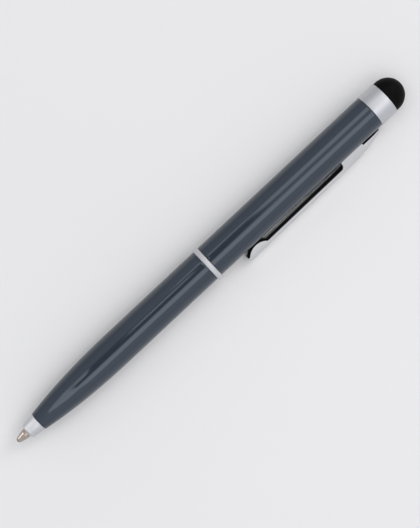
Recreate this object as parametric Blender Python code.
# Twist-action ballpoint pen with a rubber stylus tip, lying on its centre ring and its clip.
#
# Every piece is built along the pen's own axis: x runs from the ball's tip to the stylus end,
# and the clip stands on the +Z side. The whole pen is then rolled and moved, so that the
# centre ring and the clip touch the ground at z = 0 and the origin is under its middle.

import math

import bmesh
import bpy
from mathutils import Vector

MM = 0.001

# Clearances
SEAM_GAP = 0.1 * MM
FIT_GAP = 0.1 * MM
RUN_GAP = 0.15 * MM
REFILL_GAP = 0.3 * MM
OVERRUN = 0.5 * MM
MERGE_DISTANCE = 0.0004 * MM
SHARP_ANGLE = math.radians(30)

# Refill: its standard size sets the pen's bores and where the mechanism lies
REFILL_LENGTH = 98.1 * MM
REFILL_RADIUS = 2.975 * MM
REFILL_WALL = 0.32 * MM
BALL_RADIUS = 0.5 * MM
BALL_GAP = 0.04 * MM
SOCKET_LIP = 0.15 * MM
SOCKET_FRONT = 0.25 * MM
INK_BORE_RADIUS = 0.3 * MM
POINT_CRIMP_REACH = 0.7 * MM
POINT_CRIMP_RADIUS = 0.85 * MM
POINT_CONE_REACH = 2.8 * MM
POINT_REACH = 3.63 * MM
POINT_RADIUS = 1.335 * MM
POINT_LENGTH = 6.4 * MM
POINT_TAIL_LENGTH = 3.0 * MM
POINT_TAIL_RADIUS = 1.0 * MM
NECK_WALL = 0.45 * MM
SHOULDER_FRONT = 17.5 * MM
SHOULDER_LENGTH = 1.5 * MM
INK_HEADSPACE = 2.8 * MM
CAP_LENGTH = 2.7 * MM
CAP_PLUG_LENGTH = 3.2 * MM
CAP_NOTCH_WIDTH = 0.9 * MM
CAP_NOTCH_DEPTH = 0.8 * MM

# Return spring
WIRE_RADIUS = 0.175 * MM
SPRING_TURNS = 6
POINTS_PER_TURN = 10

# Nose cone
NOSE_LENGTH = 4.2 * MM
NOSE_LIP = 0.65 * MM
NOSE_STEP = 0.05 * MM
NOSE_EDGE = 0.15 * MM
NOSE_MOUTH_LENGTH = 1.9 * MM
SPIGOT_LENGTH = 3.17 * MM

# Barrels
LOWER_LENGTH = 60.53 * MM
BARREL_WALL = 0.45 * MM
BARREL_FRONT_WALL = 0.475 * MM
TAPER_LENGTH = 29.6 * MM
TAPER_POWER = 2.35
TAPER_CROWDING = 1.3
TAPER_WALL = 0.5 * MM
BARREL_EDGE = 0.12 * MM
BARREL_END_ROLL = 0.3 * MM

# Twist joint
RING_WIDTH = 1.6 * MM
RING_STEP = 0.62 * MM
RING_EDGE = 0.45 * MM
RING_COUNTERBORE_DEPTH = 0.6 * MM
BUSH_LENGTH = 9.0 * MM
BUSH_RECESS = 0.3 * MM
CONNECTOR_ROOM = 0.225 * MM
CONNECTOR_WALL = 0.6 * MM
CONNECTOR_FRONT_LENGTH = 8.4 * MM
CONNECTOR_WAIST_STEP = 0.3 * MM
CONNECTOR_FLANGE_STEP = 0.45 * MM
SOCKET_DEPTH = 5.0 * MM
GROOVE_SETBACK = 1.6 * MM
GROOVE_LAND = 1.6 * MM
FRICTION_RING_RADIUS = 0.3 * MM

# Twist mechanism
TWIST_RANGE = math.radians(150)
RETRACTED_DEPTH = 1.87 * MM
GUIDE_ROOM = 0.245 * MM
GUIDE_WALL = 0.4 * MM
GUIDE_LIP = 0.6 * MM
GUIDE_GROOVE_DEPTH = 0.15 * MM
RETAINER_THICKNESS = 0.6 * MM
RETAINER_OPENING = 1.4 * MM
PLUNGER_LENGTH = 8.0 * MM
PLUNGER_STEM_STEP = 0.775 * MM
PLUNGER_STEM_LENGTH = 2.4 * MM
PIN_RADIUS = 0.5 * MM
PIN_SETBACK = 3.0 * MM
PIN_CHAMFER = 0.12 * MM
CAM_WALL = 0.51 * MM
CAM_LAND = 1.8 * MM

# Clip: a folded channel; its rises are measured from the barrel's surface
CLIP_FOOT_SETBACK = 8.14 * MM
CLIP_ROOT_LENGTH = 7.4 * MM
CLIP_NOSE_REACH = 6.2 * MM
CLIP_NOSE_MARGIN = 1.07 * MM
CLIP_FOOT_RISE = 3.05 * MM
CLIP_ROOT_RISE = 2.64 * MM
CLIP_FOOT_HALF_WIDTH = 1.4 * MM
CLIP_ROOT_HALF_WIDTH = 1.68 * MM
CLIP_SHEET = 0.4 * MM
CLIP_BEND = 0.3 * MM
CLIP_SIDE_DEPTH = 1.08 * MM
CLIP_LOBE_SETBACK = 0.55 * MM
CLIP_LOBE_CHORD = 6.5 * MM
CLIP_LOBE_GAP = 0.42 * MM
CLIP_WINDOW_FILLET = 1.3 * MM
CLIP_TAB_DEPTH = 1.5 * MM
CLIP_TAB_LEAN = 0.15 * MM
CLIP_NOSE_TAPER = 7.0 * MM
CLIP_NOSE_TIP_SHARE = 0.4
CLIP_NOSE_THICKNESS = 0.45 * MM
CLIP_NOSE_LIFT = 0.35 * MM
CLIP_NOSE_CHAMFER = 0.3 * MM
CLIP_NOSE_WALL = 0.8 * MM
CLIP_NOSE_GAP = 0.05 * MM
CLIP_PIVOT_SETBACK = 1.0 * MM
CLIP_OPEN_RANGE = math.radians(2.2)
ANCHOR_ROOM = 1.05 * MM
ANCHOR_LAND = 1.1 * MM

# Stylus end
COLLAR_LENGTH = 5.4 * MM
COLLAR_STEP = 0.07 * MM
COLLAR_WALL = 0.2 * MM
COLLAR_LIP = 0.3 * MM
COLLAR_EDGE = 0.1 * MM
HOLDER_SETBACK = 1.4 * MM
HOLDER_FLANGE = 1.2 * MM
BOSS_REACH = 0.4 * MM
BOSS_BEAD = 0.15 * MM
BOSS_BEAD_LENGTH = 0.8 * MM
DOME_REACH = 5.78 * MM
DOME_STRAIGHT = 0.9 * MM
RUBBER_WALL = 1.15 * MM

# Steps round turned pieces and along curves
BIG_STEPS = 36
SMALL_STEPS = 24
TINY_STEPS = 16
TAPER_STEPS = 12
DOME_STEPS = 9
FILLET_STEPS = 3
LOBE_STEPS = 10
NOSE_STEPS = 7
ROOT_STEPS = 4
SLOT_STEPS = 22

# Radii of the front end, from the refill's point and neck outwards
neck_bore = POINT_TAIL_RADIUS + FIT_GAP
neck_radius = neck_bore + NECK_WALL
nose_mouth_radius = POINT_RADIUS + RUN_GAP
nose_front_radius = nose_mouth_radius + NOSE_LIP
nose_bore = neck_radius + RUN_GAP
spring_radius = nose_bore + FIT_GAP + WIRE_RADIUS
spring_bore = spring_radius + WIRE_RADIUS + RUN_GAP
spigot_radius = spring_bore - FIT_GAP
barrel_front_radius = spring_bore + BARREL_FRONT_WALL
nose_back_radius = barrel_front_radius - NOSE_STEP

# Radii of the twist mechanism and the barrels, from the refill's body outwards
plunger_radius = REFILL_RADIUS
guide_bore = plunger_radius + GUIDE_ROOM
guide_radius = guide_bore + GUIDE_WALL
cam_bore = guide_radius + RUN_GAP
inner_fit_radius = cam_bore + CAM_WALL
barrel_bore = inner_fit_radius + FIT_GAP
barrel_radius = barrel_bore + BARREL_WALL
ring_radius = barrel_radius + RING_STEP

# Radii of the connector, whose groove floor follows from the friction ring in the upper bore
connector_bore = REFILL_RADIUS + CONNECTOR_ROOM
thread_radius = connector_bore + CONNECTOR_WALL
waist_radius = thread_radius + CONNECTOR_WAIST_STEP
flange_radius = waist_radius + CONNECTOR_FLANGE_STEP
friction_ring_middle = barrel_bore - FIT_GAP - FRICTION_RING_RADIUS
groove_floor_radius = friction_ring_middle - FRICTION_RING_RADIUS - FIT_GAP / 2
groove_width = 2 * (FRICTION_RING_RADIUS + FIT_GAP)

# Radii of the stylus end
collar_radius = barrel_radius + COLLAR_STEP
collar_bore = collar_radius - COLLAR_WALL
dome_radius = collar_bore - FIT_GAP
dome_bore = dome_radius - RUBBER_WALL
boss_radius = dome_bore - FIT_GAP

# Stations of the lower half and the connector, from the ball's tip
nose_front = POINT_REACH
nose_back = nose_front + NOSE_LENGTH
spigot_back = nose_back + SPIGOT_LENGTH
lower_front = nose_back + SEAM_GAP
lower_back = lower_front + LOWER_LENGTH
taper_back = lower_front + TAPER_LENGTH
shoulder_back = SHOULDER_FRONT + SHOULDER_LENGTH
ring_front = lower_back + SEAM_GAP
ring_back = ring_front + RING_WIDTH
upper_front = ring_back + SEAM_GAP
groove_front = upper_front + GROOVE_SETBACK
groove_back = groove_front + groove_width
socket_front = groove_back + GROOVE_LAND
connector_front = lower_back - CONNECTOR_FRONT_LENGTH
connector_back = socket_front + SOCKET_DEPTH

# Stations of the twist mechanism, with the point out
refill_travel = POINT_REACH + RETRACTED_DEPTH
guide_front = socket_front + SEAM_GAP
plunger_front = REFILL_LENGTH + SEAM_GAP
plunger_back = plunger_front + PLUNGER_LENGTH
pin_out = plunger_front + PIN_SETBACK
pin_in = pin_out + refill_travel
slot_half = PIN_RADIUS + RUN_GAP
cam_front = pin_out - slot_half - CAM_LAND
cam_back = pin_in + slot_half + CAM_LAND
retainer_front = cam_back + SEAM_GAP
retainer_back = retainer_front + RETAINER_THICKNESS
guide_back = retainer_back + SEAM_GAP + GUIDE_LIP

# Stations of the clip, its anchor and the upper end, behind the mechanism
anchor_front = max(plunger_back + refill_travel, guide_back) + ANCHOR_ROOM
clip_foot = ring_back + CLIP_FOOT_SETBACK
clip_root = anchor_front + ANCHOR_LAND
clip_root_back = clip_root + CLIP_ROOT_LENGTH
clip_pivot = clip_root_back - CLIP_PIVOT_SETBACK
clip_nose = clip_root_back + CLIP_NOSE_REACH
clip_taper_front = clip_nose - CLIP_NOSE_TAPER
anchor_back = clip_root_back + ANCHOR_LAND
upper_back = clip_nose + CLIP_NOSE_MARGIN
collar_front = upper_back + SEAM_GAP
collar_back = collar_front + COLLAR_LENGTH
holder_flange_front = collar_front + COLLAR_LIP + SEAM_GAP
holder_flange_back = holder_flange_front + HOLDER_FLANGE
pen_end = collar_back + DOME_REACH

# When the clip opens, its nose dips towards the barrel and its tabs slide and dip in the slot
clip_nose_dip = (clip_nose - clip_pivot) * math.sin(CLIP_OPEN_RANGE)
clip_end_gap = RUN_GAP + CLIP_TAB_DEPTH * math.sin(CLIP_OPEN_RANGE)
clip_floor_gap = RUN_GAP + CLIP_PIVOT_SETBACK * math.sin(CLIP_OPEN_RANGE)
clip_slot_front = clip_root - CLIP_TAB_LEAN - clip_end_gap
clip_slot_back = clip_root_back + CLIP_TAB_LEAN + clip_end_gap

# Heights of the clip above the axis; past the root it follows an arc down to the nose
clip_foot_height = barrel_radius + CLIP_FOOT_RISE
clip_root_height = barrel_radius + CLIP_ROOT_RISE
clip_slope = (clip_root_height - clip_foot_height) / (clip_root - clip_foot)
clip_tab_height = barrel_radius - CLIP_TAB_DEPTH
clip_nose_height = barrel_radius + clip_nose_dip + CLIP_NOSE_GAP
clip_nose_length = clip_nose - clip_root
clip_nose_drop = (clip_root_height + clip_slope * clip_nose_length
                  - clip_nose_height - CLIP_NOSE_LIFT - CLIP_NOSE_THICKNESS)
clip_nose_arc = clip_nose_length ** 2 / (2 * clip_nose_drop)
clip_lobe_depth = CLIP_FOOT_RISE - CLIP_SIDE_DEPTH - CLIP_LOBE_GAP


def remove_everything():
    for old in list(bpy.data.objects):
        bpy.data.objects.remove(old, do_unlink=True)


def finish(name, colour, roughness, metallic):
    """A plain Principled material."""
    material = bpy.data.materials.new(name)
    material.use_nodes = True
    shader = material.node_tree.nodes["Principled BSDF"]
    shader.inputs["Base Color"].default_value = (*colour, 1)
    shader.inputs["Roughness"].default_value = roughness
    shader.inputs["Metallic"].default_value = metallic
    material.diffuse_color = (*colour, 1)
    return material


def make_object(name, mesh_work, material, parent, origin=(0, 0, 0)):
    """Turn a bmesh in pen coordinates into an object whose origin is at the given point."""
    bmesh.ops.recalc_face_normals(mesh_work, faces=mesh_work.faces)
    bmesh.ops.translate(mesh_work, verts=mesh_work.verts, vec=-Vector(origin))
    mesh = bpy.data.meshes.new(name)
    mesh_work.to_mesh(mesh)
    mesh_work.free()
    if material:
        mesh.materials.append(material)
    mesh.shade_smooth()
    mesh.set_sharp_from_angle(angle=SHARP_ANGLE)
    piece = bpy.data.objects.new(name, mesh)
    bpy.context.scene.collection.objects.link(piece)
    piece.parent = parent
    piece.location = Vector(origin) - parent_origin(parent)
    return piece


def parent_origin(parent):
    """Where a parent empty stands along the pen's own axis."""
    return Vector(parent["pen_place"])


def make_empty(name, parent, place):
    empty = bpy.data.objects.new(name, None)
    empty["pen_place"] = place
    bpy.context.scene.collection.objects.link(empty)
    if parent:
        empty.parent = parent
        empty.location = Vector(place) - parent_origin(parent)
    return empty


def as_cutter(piece):
    piece.hide_render = True
    piece.display_type = "WIRE"
    return piece


def cut(piece, cutter):
    modifier = piece.modifiers.new(f"cut_{cutter.name}", "BOOLEAN")
    modifier.operation = "DIFFERENCE"
    modifier.solver = "EXACT"
    modifier.object = cutter


def filleted(corners):
    """Outline points from (x, height, fillet) corners; a corner with a fillet becomes an arc."""
    outline = []
    for index, (x, height, fillet) in enumerate(corners):
        corner = Vector((x, height))
        if fillet == 0:
            outline.append(tuple(corner))
            continue
        before = Vector(corners[index - 1][:2]) - corner
        after = Vector(corners[(index + 1) % len(corners)][:2]) - corner
        half = before.angle(after) / 2
        reach = min(fillet / math.tan(half), before.length / 2, after.length / 2)
        radius = reach * math.tan(half)
        middle = before.normalized() + after.normalized()
        centre = corner + middle.normalized() * (radius / math.sin(half))
        start = corner + before.normalized() * reach - centre
        sweep = start.angle_signed(corner + after.normalized() * reach - centre)
        for step in range(FILLET_STEPS + 1):
            turn = -sweep * step / FILLET_STEPS
            spoke = Vector((start.x * math.cos(turn) - start.y * math.sin(turn),
                            start.x * math.sin(turn) + start.y * math.cos(turn)))
            outline.append(tuple(centre + spoke))
    return outline


def arc(centre_x, semi_x, semi_height, start, end, steps):
    """Points of an ellipse centred on the axis; angles run from the +X end towards the side."""
    points = []
    for step in range(steps + 1):
        angle = start + (end - start) * step / steps
        points.append((centre_x + semi_x * math.cos(angle), semi_height * math.sin(angle)))
    return points


def turned(name, outline, steps, material, parent, origin=(0, 0, 0)):
    """Turn a closed outline of (x, radius) points round the pen's axis."""
    work = bmesh.new()
    corners = [work.verts.new((x, 0, max(radius, 0))) for x, radius in outline]
    edges = []
    for first, second in zip(corners, corners[1:] + corners[:1]):
        on_axis = max(first.co.z, second.co.z) < MERGE_DISTANCE
        if not on_axis:
            edges.append(work.edges.new((first, second)))
    bmesh.ops.spin(work, geom=corners + edges, cent=(0, 0, 0), axis=(1, 0, 0),
                   angle=math.tau, steps=steps, use_merge=True)
    bmesh.ops.remove_doubles(work, verts=work.verts, dist=MERGE_DISTANCE)
    return make_object(name, work, material, parent, origin)


def tube(front, back, bore, radius, edge=0):
    """The outline of a plain tube with its outer edges rounded."""
    return filleted([(front, bore, 0), (front, radius, edge), (back, radius, edge), (back, bore, 0)])


def lofted(name, sections, material, parent, origin=(0, 0, 0)):
    """A closed solid through sections that all have the same number of points."""
    work = bmesh.new()
    rows = [[work.verts.new(point) for point in section] for section in sections]
    for row, following in zip(rows, rows[1:]):
        for index in range(len(row)):
            side = (index + 1) % len(row)
            work.faces.new((row[index], row[side], following[side], following[index]))
    work.faces.new(rows[0])
    work.faces.new(rows[-1])
    return make_object(name, work, material, parent, origin)


def block(name, low, high, material, parent):
    """A block between two corners."""
    sections = []
    for x in (low[0], high[0]):
        sections.append([(x, low[1], low[2]), (x, high[1], low[2]),
                         (x, high[1], high[2]), (x, low[1], high[2])])
    return lofted(name, sections, material, parent)


def on_cylinder(x, angle, radius):
    """A point at an angle about the axis, counted from +Z by the right-hand rule about +X."""
    return (x, -radius * math.sin(angle), radius * math.cos(angle))


def barrel_taper(x):
    """The lower barrel's outer radius: an ogive from the nose to the full diameter."""
    share = min((x - lower_front) / TAPER_LENGTH, 1)
    return barrel_front_radius + (barrel_radius - barrel_front_radius) * (1 - (1 - share) ** TAPER_POWER)


def nose_cone(material, parent):
    outline = filleted([
        (nose_front, nose_mouth_radius, 0),
        (nose_front, nose_front_radius, NOSE_EDGE),
        (nose_back, nose_back_radius, NOSE_EDGE),
        (nose_back, spigot_radius, 0),
        (spigot_back, spigot_radius, 0),
        (spigot_back, nose_bore, 0),
        (nose_front + NOSE_MOUTH_LENGTH, nose_bore, 0),
        (nose_front + NOSE_MOUTH_LENGTH - RUN_GAP, nose_mouth_radius, 0),
    ])
    return turned("nose_cone", outline, SMALL_STEPS, material, parent)


def lower_barrel(material, parent):
    outer = []
    for step in range(TAPER_STEPS + 1):
        # stations crowd towards the nose, where the ogive bends most
        x = lower_front + TAPER_LENGTH * (step / TAPER_STEPS) ** TAPER_CROWDING
        outer.append((x, barrel_taper(x)))
    refill_bore = REFILL_RADIUS + REFILL_GAP
    # the bore follows the taper from where the wall leaves room for the refill
    inner = []
    for x, radius in outer[:-1]:
        if x > shoulder_back and radius - TAPER_WALL > refill_bore:
            inner.append((x, radius - TAPER_WALL))
    back = filleted([
        (taper_back, barrel_radius, 0),
        (lower_back, barrel_radius, BARREL_EDGE),
        (lower_back, barrel_bore, 0),
        (taper_back, barrel_bore, 0),
    ])[1:]
    front = [
        (shoulder_back, refill_bore),
        (SHOULDER_FRONT - RUN_GAP, spring_bore),
        (lower_front, spring_bore),
    ]
    outline = outer + back + inner[::-1] + front
    return turned("lower_barrel", outline, BIG_STEPS, material, parent)


def threaded_bush(material, parent):
    back = lower_back - BUSH_RECESS
    outline = tube(back - BUSH_LENGTH, back, thread_radius + FIT_GAP, inner_fit_radius)
    return turned("threaded_bush", outline, BIG_STEPS, material, parent)


def connector(material, parent):
    back_radius = barrel_bore - RUN_GAP
    flange_front = ring_back - RING_COUNTERBORE_DEPTH + SEAM_GAP
    outline = filleted([
        (connector_front, connector_bore, 0),
        (connector_front, thread_radius, 0),
        (ring_front, thread_radius, 0),
        (ring_front, waist_radius, 0),
        (flange_front, waist_radius, 0),
        (flange_front, flange_radius, 0),
        (ring_back, flange_radius, 0),
        (ring_back, back_radius, 0),
        (groove_front, back_radius, 0),
        (groove_front, groove_floor_radius, 0),
        (groove_back, groove_floor_radius, 0),
        (groove_back, back_radius, 0),
        (connector_back, back_radius, 0),
        (connector_back, guide_radius + FIT_GAP, 0),
        (socket_front, guide_radius + FIT_GAP, 0),
        (socket_front, connector_bore, 0),
    ])
    return turned("connector", outline, BIG_STEPS, material, parent)


def centre_ring(material, parent):
    bore = waist_radius + FIT_GAP
    counterbore = flange_radius + FIT_GAP
    outline = filleted([
        (ring_front, bore, 0),
        (ring_front, ring_radius, RING_EDGE),
        (ring_back, ring_radius, RING_EDGE),
        (ring_back, counterbore, 0),
        (ring_back - RING_COUNTERBORE_DEPTH, counterbore, 0),
        (ring_back - RING_COUNTERBORE_DEPTH, bore, 0),
    ])
    return turned("centre_ring", outline, BIG_STEPS, material, parent)


def friction_ring(material, parent):
    x = (groove_front + groove_back) / 2
    outline = []
    for step in range(TINY_STEPS // 2):
        angle = math.tau * step / (TINY_STEPS // 2)
        outline.append((x + FRICTION_RING_RADIUS * math.cos(angle),
                        friction_ring_middle + FRICTION_RING_RADIUS * math.sin(angle)))
    return turned("friction_ring", outline, BIG_STEPS, material, parent)


def guide_tube(material, parent):
    clip_groove_front = retainer_front - SEAM_GAP / 2
    clip_groove_back = retainer_back + SEAM_GAP / 2
    floor = guide_radius - GUIDE_GROOVE_DEPTH
    outline = [
        (guide_front, guide_bore),
        (guide_front, guide_radius),
        (clip_groove_front, guide_radius),
        (clip_groove_front, floor),
        (clip_groove_back, floor),
        (clip_groove_back, guide_radius),
        (guide_back, guide_radius),
        (guide_back, guide_bore),
    ]
    piece = turned("guide_tube", outline, BIG_STEPS, material, parent)
    # one cutter opens both straight slots, which keep the pin from turning
    reach = guide_radius + OVERRUN
    slot = block("guide_slot_cutter", (pin_out - slot_half, -reach, -slot_half),
                 (pin_in + slot_half, reach, slot_half), None, parent)
    cut(piece, as_cutter(slot))
    return piece


def retaining_ring(material, parent):
    bore = guide_radius - GUIDE_GROOVE_DEPTH + FIT_GAP / 2
    radius = barrel_bore - RUN_GAP
    outline = tube(retainer_front, retainer_back, bore, radius)
    piece = turned("retaining_ring", outline, BIG_STEPS, material, parent)
    opening = block("retainer_opening_cutter",
                    (retainer_front - OVERRUN, -RETAINER_OPENING / 2, 0),
                    (retainer_back + OVERRUN, RETAINER_OPENING / 2, radius + OVERRUN), None, parent)
    cut(piece, as_cutter(opening))
    return piece


def return_spring(material, parent):
    front = spigot_back + SEAM_GAP + WIRE_RADIUS
    back = SHOULDER_FRONT - WIRE_RADIUS
    points = []
    for step in range(SPRING_TURNS * POINTS_PER_TURN + 1):
        share = step / (SPRING_TURNS * POINTS_PER_TURN)
        points.append(on_cylinder(front + (back - front) * share,
                                  math.tau * SPRING_TURNS * share, spring_radius))
    least = min((Vector(points[i]) - Vector(points[j])).length
                for i in range(len(points))
                for j in range(i + POINTS_PER_TURN // 2, len(points)))
    print(f"return spring: least gap between turns {(least - 2 * WIRE_RADIUS) / MM:.2f} mm")
    curve = bpy.data.curves.new("return_spring", "CURVE")
    curve.dimensions = "3D"
    curve.bevel_depth = WIRE_RADIUS
    curve.bevel_resolution = 1
    curve.use_fill_caps = True
    spline = curve.splines.new("POLY")
    spline.points.add(len(points) - 1)
    for point, place in zip(spline.points, points):
        point.co = (*place, 1)
    curve.materials.append(material)
    piece = bpy.data.objects.new("return_spring", curve)
    bpy.context.scene.collection.objects.link(piece)
    piece.parent = parent
    piece.location = -parent_origin(parent)
    return piece


def writing_ball(material, parent):
    outline = arc(BALL_RADIUS, BALL_RADIUS, BALL_RADIUS, math.pi, 0, TINY_STEPS // 2)
    return turned("writing_ball", outline, TINY_STEPS, material, parent, (BALL_RADIUS, 0, 0))


def refill_point(material, parent):
    # the socket follows the ball at a small gap, in past the ball's middle
    socket_radius = BALL_RADIUS + BALL_GAP
    lip_angle = math.acos((SOCKET_FRONT - BALL_RADIUS) / socket_radius)
    bore_angle = math.asin(INK_BORE_RADIUS / socket_radius)
    socket = arc(BALL_RADIUS, socket_radius, socket_radius, bore_angle, lip_angle, TINY_STEPS // 2)
    lip_radius = socket[-1][1] + SOCKET_LIP
    tail_back = POINT_LENGTH + POINT_TAIL_LENGTH
    outline = socket + [
        (SOCKET_FRONT, lip_radius),
        (POINT_CRIMP_REACH, POINT_CRIMP_RADIUS),
        (POINT_CONE_REACH, POINT_RADIUS),
        (POINT_LENGTH, POINT_RADIUS),
        (POINT_LENGTH, POINT_TAIL_RADIUS),
        (tail_back, POINT_TAIL_RADIUS),
        (tail_back, INK_BORE_RADIUS),
    ]
    return turned("refill_point", outline, SMALL_STEPS, material, parent)


def refill_tube(material, parent):
    front = POINT_LENGTH + SEAM_GAP
    back = REFILL_LENGTH - CAP_LENGTH - SEAM_GAP
    bore = REFILL_RADIUS - REFILL_WALL
    outline = [
        (front, neck_bore),
        (front, neck_radius),
        (SHOULDER_FRONT, neck_radius),
        (shoulder_back, REFILL_RADIUS),
        (back, REFILL_RADIUS),
        (back, bore),
        (shoulder_back + REFILL_WALL, bore),
        (SHOULDER_FRONT + REFILL_WALL, neck_bore),
    ]
    return turned("refill_tube", outline, SMALL_STEPS, material, parent)


def ink_column(material, parent):
    front = POINT_LENGTH + POINT_TAIL_LENGTH + SEAM_GAP
    back = REFILL_LENGTH - CAP_LENGTH - CAP_PLUG_LENGTH - INK_HEADSPACE
    thin_radius = neck_bore - FIT_GAP
    wide_radius = REFILL_RADIUS - REFILL_WALL - FIT_GAP
    outline = [
        (front, 0),
        (front, thin_radius),
        (SHOULDER_FRONT + REFILL_WALL + FIT_GAP, thin_radius),
        (shoulder_back + REFILL_WALL + FIT_GAP, wide_radius),
        (back, wide_radius),
        (back, 0),
    ]
    return turned("ink_column", outline, SMALL_STEPS, material, parent)


def refill_end_cap(material, parent):
    front = REFILL_LENGTH - CAP_LENGTH
    plug_radius = REFILL_RADIUS - REFILL_WALL - FIT_GAP
    outline = [
        (front - CAP_PLUG_LENGTH, 0),
        (front - CAP_PLUG_LENGTH, plug_radius),
        (front, plug_radius),
        (front, REFILL_RADIUS),
        (REFILL_LENGTH, REFILL_RADIUS),
        (REFILL_LENGTH, 0),
    ]
    piece = turned("refill_end_cap", outline, SMALL_STEPS, material, parent)
    half = CAP_NOTCH_WIDTH / 2
    reach = REFILL_RADIUS + OVERRUN
    low = REFILL_LENGTH - CAP_NOTCH_DEPTH
    high = REFILL_LENGTH + OVERRUN
    # two crossing cuts leave the four teeth of the cap's crown
    for label, y_reach, z_reach in (("across", reach, half), ("upright", half, reach)):
        notch = block(f"cap_notch_{label}_cutter", (low, -y_reach, -z_reach),
                      (high, y_reach, z_reach), None, parent)
        cut(piece, as_cutter(notch))
    return piece


def drive_plunger(material, parent):
    stem_front = plunger_back - PLUNGER_STEM_LENGTH
    stem_radius = plunger_radius - PLUNGER_STEM_STEP
    outline = [
        (plunger_front, 0),
        (plunger_front, plunger_radius),
        (stem_front, plunger_radius),
        (stem_front, stem_radius),
        (plunger_back, stem_radius),
        (plunger_back, 0),
    ]
    piece = turned("drive_plunger", outline, SMALL_STEPS, material, parent)
    hole = cross_pin("plunger_hole_cutter", PIN_RADIUS + FIT_GAP / 2,
                     plunger_radius + OVERRUN, 0, None, parent)
    cut(piece, as_cutter(hole))
    return piece


def cross_pin(name, radius, reach, chamfer, material, parent):
    """A round pin across the pen at the drive pin's station."""
    work = bmesh.new()
    rows = []
    ends = ((-reach, radius - chamfer), (-reach + chamfer, radius),
            (reach - chamfer, radius), (reach, radius - chamfer))
    if chamfer == 0:
        ends = ends[1:3]
    for y, size in ends:
        row = []
        for step in range(TINY_STEPS):
            angle = math.tau * step / TINY_STEPS
            row.append(work.verts.new((pin_out + size * math.cos(angle), y, size * math.sin(angle))))
        rows.append(row)
    for row, following in zip(rows, rows[1:]):
        bmesh.ops.bridge_loops(work, edges=loop_edges(work, row) + loop_edges(work, following))
    work.faces.new(rows[0])
    work.faces.new(rows[-1])
    return make_object(name, work, material, parent)


def loop_edges(work, row):
    """The closed loop of edges through a row of points."""
    edges = []
    for first, second in zip(row, row[1:] + row[:1]):
        edges.append(work.edges.get((first, second)) or work.edges.new((first, second)))
    return edges


def drive_pin(material, parent):
    return cross_pin("drive_pin", PIN_RADIUS, inner_fit_radius - FIT_GAP, PIN_CHAMFER, material, parent)


def helical_slot(name, start_angle, parent):
    """A cutter that follows the pin's path on the cam sleeve, from point out to point in."""
    wall_middle = (cam_bore + inner_fit_radius) / 2
    path = Vector((refill_travel, wall_middle * TWIST_RANGE))
    along = path.normalized()
    overtravel = slot_half / path.length
    sections = []
    for step in range(SLOT_STEPS + 1):
        share = -overtravel + (1 + 2 * overtravel) * step / SLOT_STEPS
        x = pin_out + refill_travel * share
        angle = start_angle - TWIST_RANGE * share
        # across the path, half the slot's width each way
        dx = slot_half * along.y
        da = slot_half * along.x / wall_middle
        low, high = cam_bore - OVERRUN, inner_fit_radius + OVERRUN
        sections.append([on_cylinder(x - dx, angle - da, low), on_cylinder(x + dx, angle + da, low),
                         on_cylinder(x + dx, angle + da, high), on_cylinder(x - dx, angle - da, high)])
    return as_cutter(lofted(name, sections, None, parent))


def cam_sleeve(material, parent):
    outline = tube(cam_front, cam_back, cam_bore, inner_fit_radius)
    piece = turned("cam_sleeve", outline, BIG_STEPS, material, parent)
    for label, start_angle in (("left", math.pi / 2), ("right", -math.pi / 2)):
        cut(piece, helical_slot(f"cam_slot_{label}_cutter", start_angle, parent))
    return piece


def upper_barrel(material, parent):
    outline = filleted([
        (upper_front, barrel_bore, 0),
        (upper_front, barrel_radius, BARREL_EDGE),
        (upper_back, barrel_radius, BARREL_END_ROLL),
        (upper_back, barrel_bore, 0),
    ])
    piece = turned("upper_barrel", outline, BIG_STEPS, material, parent)
    half = clip_half_width(clip_root_back) + RUN_GAP
    slot = block("clip_slot_cutter", (clip_slot_front, -half, barrel_bore / 2),
                 (clip_slot_back, half, barrel_radius + OVERRUN), None, parent)
    cut(piece, as_cutter(slot))
    return piece


def clip_anchor(material, parent):
    outline = [
        (anchor_front, 0),
        (anchor_front, inner_fit_radius),
        (anchor_back, inner_fit_radius),
        (anchor_back, 0),
    ]
    piece = turned("clip_anchor", outline, BIG_STEPS, material, parent)
    # a pocket for each of the clip's side walls, with a tongue left between them
    inside = CLIP_ROOT_HALF_WIDTH - CLIP_SHEET - RUN_GAP
    outside = clip_half_width(clip_root_back) + RUN_GAP
    for label, side in (("left", 1), ("right", -1)):
        low_y, high_y = sorted((side * inside, side * outside))
        pocket = block(f"anchor_pocket_{label}_cutter",
                       (clip_slot_front, low_y, clip_tab_height - clip_floor_gap),
                       (clip_slot_back, high_y, barrel_radius), None, parent)
        cut(piece, as_cutter(pocket))
    return piece


def clip_height(x):
    """The clip's outer face above the axis: straight, then an arc down to the nose."""
    past = max(x - clip_root, 0)
    return clip_foot_height + clip_slope * (x - clip_foot) - past ** 2 / (2 * clip_nose_arc)


def clip_half_width(x):
    """Half the clip's width: it widens towards the root and narrows along the nose."""
    widening = (CLIP_ROOT_HALF_WIDTH - CLIP_FOOT_HALF_WIDTH) / (clip_root - clip_foot)
    half = CLIP_FOOT_HALF_WIDTH + widening * (min(x, clip_root) - clip_foot)
    along_nose = max(x - clip_taper_front, 0) / CLIP_NOSE_TAPER
    return half * (1 - (1 - CLIP_NOSE_TIP_SHARE) * min(along_nose, 1) ** 2)


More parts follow.
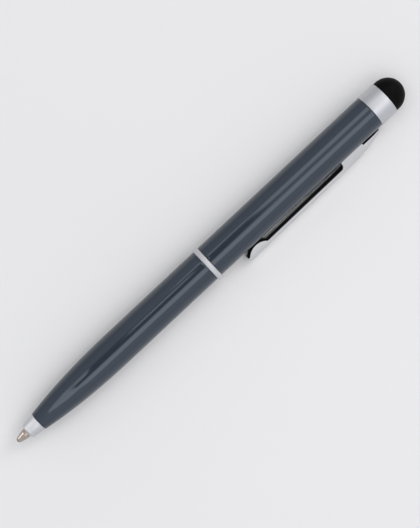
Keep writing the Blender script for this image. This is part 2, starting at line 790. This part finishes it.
def clip_rim():
    """The edge of the clip's side walls, foot to nose, as (x, height) points."""
    def low_wall(x):
        return clip_height(x) - CLIP_SIDE_DEPTH

    lobe_front = clip_foot + CLIP_LOBE_SETBACK
    lobe_middle = lobe_front + CLIP_LOBE_CHORD / 2
    half_chord = CLIP_LOBE_CHORD / 2
    lobe_radius = (half_chord ** 2 + clip_lobe_depth ** 2) / (2 * clip_lobe_depth)
    half_angle = math.asin(half_chord / lobe_radius)
    rim = [(clip_foot, low_wall(clip_foot))]
    for step in range(LOBE_STEPS + 1):
        angle = half_angle * (2 * step / LOBE_STEPS - 1)
        x = lobe_middle + lobe_radius * math.sin(angle)
        drop = lobe_radius * (math.cos(angle) - math.cos(half_angle))
        rim.append((x, low_wall(x) - drop))
    window_back = clip_root - CLIP_WINDOW_FILLET
    for step in range(FILLET_STEPS + 1):
        angle = math.pi / 2 * step / FILLET_STEPS
        x = window_back + (CLIP_WINDOW_FILLET - CLIP_TAB_LEAN) * math.sin(angle)
        rim.append((x, low_wall(window_back) - CLIP_WINDOW_FILLET * (1 - math.cos(angle))))
    for step in range(ROOT_STEPS + 1):
        rim.append((clip_root + CLIP_ROOT_LENGTH * step / ROOT_STEPS, clip_tab_height))
    rim.append((clip_root_back + CLIP_TAB_LEAN, clip_nose_height))
    for step in range(1, NOSE_STEPS):
        # the side walls taper away towards the nose
        share = step / (NOSE_STEPS - 1)
        x = clip_root_back + CLIP_TAB_LEAN
        x += (clip_nose - CLIP_NOSE_CHAMFER - x) * share
        rim.append((x, clip_nose_height + CLIP_NOSE_LIFT * share))
    rim.append((clip_nose, clip_nose_height + CLIP_NOSE_LIFT + CLIP_NOSE_CHAMFER / 2))
    return rim


def clip_section(x, rim, inset, bend):
    """The channel's outline across the pen at one station, inset by the sheet for its inside."""
    half = clip_half_width(x) - inset
    top = clip_height(x) - inset
    bend = min(bend, half / 2, (top - rim) / 2)
    side = []
    for step in range(FILLET_STEPS + 1):
        angle = math.pi / 2 * step / FILLET_STEPS
        side.append((half - bend * (1 - math.cos(angle)), top - bend * (1 - math.sin(angle))))
    right = [(x, y, z) for y, z in [(half, rim)] + side]
    left = [(x, -y, z) for x, y, z in reversed(right)]
    return right + left


def clip(material, parent):
    rim = clip_rim()
    pivot = (clip_pivot, 0, barrel_radius)
    outside = [clip_section(x, height, 0, CLIP_BEND) for x, height in rim]
    piece = lofted("clip", outside, material, parent, pivot)
    floor = clip_tab_height - OVERRUN
    cavity_back = clip_nose - CLIP_NOSE_WALL
    stations = [clip_foot - OVERRUN, clip_root]
    stations += [x for x, _ in rim if clip_root_back < x < cavity_back] + [cavity_back]
    inside = [clip_section(x, floor, CLIP_SHEET, 0) for x in stations]
    # the inside's corners are square, so its section has only four points
    inside = [[section[0], section[1], section[-2], section[-1]] for section in inside]
    cavity = lofted("clip_cavity_cutter", inside, None, parent)
    cut(piece, as_cutter(cavity))
    return piece


def stylus_holder(material, parent):
    plug_front = anchor_back + HOLDER_SETBACK
    boss_back = collar_back + BOSS_REACH
    bead_front = boss_back - BOSS_BEAD_LENGTH
    outline = [
        (plug_front, 0),
        (plug_front, inner_fit_radius),
        (holder_flange_front, inner_fit_radius),
        (holder_flange_front, collar_bore - FIT_GAP),
        (holder_flange_back, collar_bore - FIT_GAP),
        (holder_flange_back, boss_radius - BOSS_BEAD),
        (bead_front, boss_radius - BOSS_BEAD),
        (bead_front, boss_radius),
        (boss_back - BOSS_BEAD, boss_radius),
        (boss_back, boss_radius - BOSS_BEAD),
        (boss_back, 0),
    ]
    return turned("stylus_holder", outline, BIG_STEPS, material, parent)


def end_collar(material, parent):
    lip_bore = inner_fit_radius + FIT_GAP
    outline = filleted([
        (collar_front, lip_bore, 0),
        (collar_front, collar_radius, COLLAR_EDGE),
        (collar_back, collar_radius, COLLAR_EDGE),
        (collar_back, collar_bore, 0),
        (collar_front + COLLAR_LIP, collar_bore, 0),
        (collar_front + COLLAR_LIP, lip_bore, 0),
    ])
    return turned("end_collar", outline, BIG_STEPS, material, parent)


def stylus_tip(material, parent):
    skirt_front = holder_flange_back + SEAM_GAP
    dome_front = collar_back + DOME_STRAIGHT
    reach = DOME_REACH - DOME_STRAIGHT
    outer = arc(dome_front, reach, dome_radius, math.pi / 2, 0, DOME_STEPS)
    inner = arc(dome_front, reach - RUBBER_WALL, dome_bore, 0, math.pi / 2, DOME_STEPS - 2)
    outline = [(skirt_front, dome_bore), (skirt_front, dome_radius)] + outer + inner
    return turned("stylus_tip", outline, BIG_STEPS, material, parent)


def touch_roll(x):
    """How far the clip hangs below level when its outer corner at x meets the ground."""
    height, half = clip_height(x), clip_half_width(x)
    return math.asin(ring_radius / math.hypot(height, half)) - math.atan2(half, height)


def build():
    remove_everything()
    lacquer = finish("slate_lacquer", (0.055, 0.068, 0.09), 0.22, 0.35)
    silver = finish("satin_silver", (0.72, 0.73, 0.75), 0.28, 1)
    bright = finish("bright_silver", (0.8, 0.8, 0.82), 0.15, 1)
    nickel = finish("nickel_silver", (0.6, 0.52, 0.44), 0.25, 1)
    brass = finish("brass", (0.7, 0.52, 0.24), 0.3, 1)
    steel = finish("spring_steel", (0.55, 0.56, 0.58), 0.3, 1)
    carbide = finish("ball_carbide", (0.1, 0.1, 0.11), 0.2, 1)
    plastic = finish("white_plastic", (0.75, 0.75, 0.72), 0.45, 0)
    grey_plastic = finish("grey_plastic", (0.2, 0.21, 0.23), 0.5, 0)
    ink = finish("ink", (0.01, 0.012, 0.03), 0.3, 0)
    rubber = finish("black_rubber", (0.012, 0.012, 0.013), 0.55, 0)

    lower = make_empty("lower_half", None, (0, 0, 0))
    upper = make_empty("upper_half_turn", lower, (upper_front, 0, 0))
    refill = make_empty("refill_slide", lower, (REFILL_LENGTH, 0, 0))

    nose_cone(silver, lower)
    lower_barrel(lacquer, lower)
    threaded_bush(brass, lower)
    connector(brass, lower)
    centre_ring(bright, lower)
    friction_ring(rubber, lower)
    guide_tube(brass, lower)
    retaining_ring(steel, lower)
    return_spring(steel, lower)

    writing_ball(carbide, refill)
    refill_point(nickel, refill)
    refill_tube(steel, refill)
    ink_column(ink, refill)
    refill_end_cap(grey_plastic, refill)
    drive_plunger(plastic, refill)
    drive_pin(steel, refill)

    upper_barrel(lacquer, upper)
    cam_sleeve(plastic, upper)
    clip_anchor(plastic, upper)
    clip(silver, upper)
    stylus_holder(plastic, upper)
    end_collar(silver, upper)
    stylus_tip(rubber, upper)

    # roll the clip down to the ground and put the origin under the middle of the pen
    roll = min(touch_roll(clip_foot), touch_roll(clip_root))
    reach = max(clip_height(x) * math.cos(roll) + clip_half_width(x) * math.sin(roll)
                for x in (clip_foot, clip_root))
    lower.rotation_euler = (math.pi / 2 + roll, 0, 0)
    lower.location = (-pen_end / 2, (reach - ring_radius) / 2, ring_radius)
    print(f"pen length {pen_end / MM:.1f} mm, clip hangs {math.degrees(roll):.2f} degrees below level")


build()
